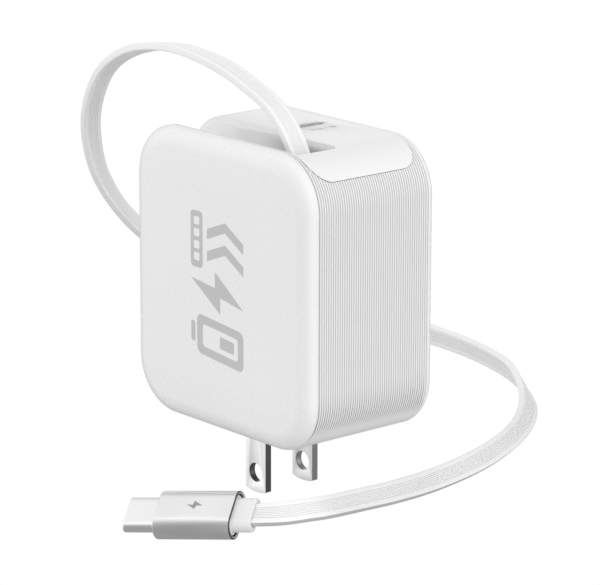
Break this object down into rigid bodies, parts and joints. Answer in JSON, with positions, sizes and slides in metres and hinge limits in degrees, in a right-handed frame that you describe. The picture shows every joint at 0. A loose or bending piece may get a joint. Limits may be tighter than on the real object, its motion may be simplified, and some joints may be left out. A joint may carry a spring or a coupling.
{
  "type": "laptop power adapter",
  "caption": "Rounded-square wall charger with folding outlet blades, a top socket and a flat plug-ended lead that winds onto a sprung reel in its front half.",
  "frame": {"origin": "middle of the pair of outlet blades on the flat face that meets the wall outlet", "axes": "+Z out of the wall face towards the top socket, -Y towards the plain front cover, +X towards the closed end of the plug channel"},
  "size_m": [0.1139, 0.1446, 0.0919],
  "materials": {
    "housing_white": "fine satin moulding",
    "cap_white": "satin gloss",
    "reel_plastic": "natural moulding",
    "steel": "turned",
    "spring_steel": "blued strip",
    "lead_white": "smooth white jacket",
    "circuit_board": "green solder mask",
    "contact_brass": "sprung contact",
    "nickel_plate": "bright nickel",
    "black_plastic": "black moulding",
    "ferrite": "sintered",
    "winding_tape": "taped winding",
    "can_sleeve": "printed sleeve without marks",
    "choke_wire": "enamelled wire",
    "film_capacitor": "moulded box",
    "fuse_sleeve": "sleeved",
    "grip_aluminium": "brushed",
    "insulation": "pressed board"
  },
  "bodies": {
    "root": {"front_cover": "housing_white", "mid_frame": "housing_white", "top_cap": "cap_white", "rear_cover": "housing_white", "channel_liner": "housing_white", "cable_guide": "housing_white", "reel_tray": "reel_plastic", "tray_screw_a": "steel", "tray_screw_b": "steel", "tray_screw_c": "steel", "tray_screw_d": "steel", "reel_axle": "steel", "reel_retainer": "steel", "spiral_spring": "spring_steel", "contact_brush_a": "contact_brass", "contact_brush_b": "contact_brass", "latch_pin": "steel", "latch_spring": "spring_steel", "blade_base": "housing_white", "blade_pin": "steel", "blade_detent": "steel", "contact_leaf_front": "contact_brass", "contact_leaf_rear": "contact_brass", "contact_block": "black_plastic", "main_board": "circuit_board", "transformer_core": "ferrite", "transformer_winding": "winding_tape", "bulk_capacitor_a": "can_sleeve", "bulk_capacitor_b": "can_sleeve", "output_capacitor": "can_sleeve", "line_choke": "choke_wire", "line_capacitor": "film_capacitor", "line_fuse": "fuse_sleeve", "bridge_rectifier": "black_plastic", "power_switch": "black_plastic", "heat_spreader": "grip_aluminium", "insulation_sheet": "insulation", "port_shell": "steel", "port_tongue": "black_plastic", "port_board": "circuit_board", "cable_free": "lead_white", "plug_collar": "lead_white", "plug_overmould": "lead_white", "plug_grip": "grip_aluminium", "plug_shell": "nickel_plate", "plug_insert": "black_plastic", "plug_board": "circuit_board"},
    "blade_unit": {"blade_carrier": "housing_white", "blade_front": "nickel_plate", "blade_rear": "nickel_plate"},
    "reel": {"spool_body": "reel_plastic", "spool_cover": "reel_plastic", "cable_wound": "lead_white", "spring_cup": "reel_plastic", "slip_ring_board": "circuit_board"},
    "pawl": {"latch_pawl": "reel_plastic"}
  },
  "joints": [
    {"name": "blade_fold", "type": "hinge", "parent": "root", "child": "blade_unit", "pos_m": [0, 0, 0.0044], "axis": [0, -1, 0], "range_deg": [0, 90]},
    {"name": "reel_spin", "type": "hinge", "parent": "root", "child": "reel", "pos_m": [0.0026, -0.01, 0.0306], "axis": [0, 1, 0], "range_deg": [-720, 1380]},
    {"name": "pawl_swing", "type": "hinge", "parent": "root", "child": "pawl", "pos_m": [-0.0124, -0.006, 0.0416], "axis": [0, 1, 0], "range_deg": [-18, 18], "stiffness_Nm_per_rad": 0.002}
  ]
}
